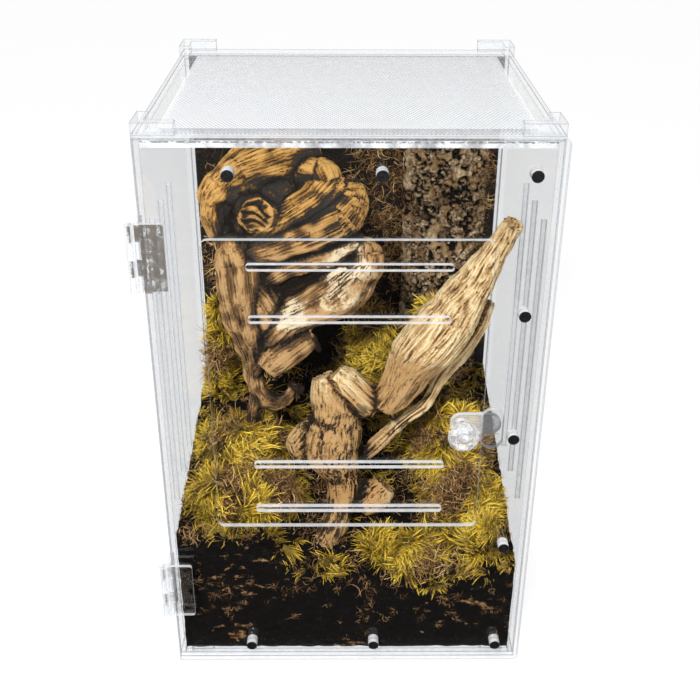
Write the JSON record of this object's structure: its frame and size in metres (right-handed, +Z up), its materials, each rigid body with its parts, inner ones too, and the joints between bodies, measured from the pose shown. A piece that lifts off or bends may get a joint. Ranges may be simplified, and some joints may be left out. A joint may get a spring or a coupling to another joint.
{
  "type": "reptile terrarium",
  "caption": "Clear acrylic reptile terrarium with a full-size hinged front door, vent slots, magnets, a turn latch and a planted interior of driftwood, bark, moss and soil.",
  "frame": {"origin": "centre of the overall outline on the surface that the four feet stand on", "axes": "+Z up, the door faces -Y, +X to the right of someone facing the door"},
  "size_m": [0.2068, 0.195, 0.329],
  "materials": {
    "clear_acrylic": "polished, clear",
    "nickel": "polished",
    "coir_board": "fibrous",
    "cork_bark": "rough",
    "driftwood": "weathered",
    "soil": "loose, moist",
    "moss": "soft fronds"
  },
  "bodies": {
    "box": {"floor_panel": "clear_acrylic", "left_wall": "clear_acrylic", "right_wall": "clear_acrylic", "back_wall": "clear_acrylic", "perforated_top": "clear_acrylic", "front_panel": "clear_acrylic", "latch_keeper": "clear_acrylic", "upper_hinge_wall_leaf": "clear_acrylic", "upper_hinge_pin": "clear_acrylic", "lower_hinge_wall_leaf": "clear_acrylic", "lower_hinge_pin": "clear_acrylic", "stacking_corner_front_left": "clear_acrylic", "stacking_corner_front_right": "clear_acrylic", "stacking_corner_back_left": "clear_acrylic", "stacking_corner_back_right": "clear_acrylic", "foot_front_left": "clear_acrylic", "foot_front_right": "clear_acrylic", "foot_back_left": "clear_acrylic", "foot_back_right": "clear_acrylic", "frame_magnets": "nickel", "background_board": "coir_board", "cork_bark_slab": "cork_bark", "driftwood_root": "driftwood", "driftwood_branch": "driftwood", "soil_bed": "soil", "moss_left": "moss", "moss_right": "moss", "moss_front": "moss", "moss_back_left": "moss", "moss_centre": "moss"},
    "door": {"front_door": "clear_acrylic", "door_magnets": "nickel", "upper_hinge_door_leaf": "clear_acrylic", "lower_hinge_door_leaf": "clear_acrylic"},
    "latch": {"latch_knob": "clear_acrylic", "latch_spindle": "clear_acrylic", "latch_bar": "clear_acrylic"}
  },
  "joints": [
    {"name": "door_hinge", "type": "hinge", "parent": "box", "child": "door", "pos_m": [-0.1011, -0.09225, 0.1645], "axis": [0, 0, -1], "range_deg": [0, 180]},
    {"name": "latch_turn", "type": "hinge", "parent": "door", "child": "latch", "pos_m": [0.0626, -0.08925, 0.1645], "axis": [0, 1, 0], "range_deg": [-90, 90]}
  ]
}
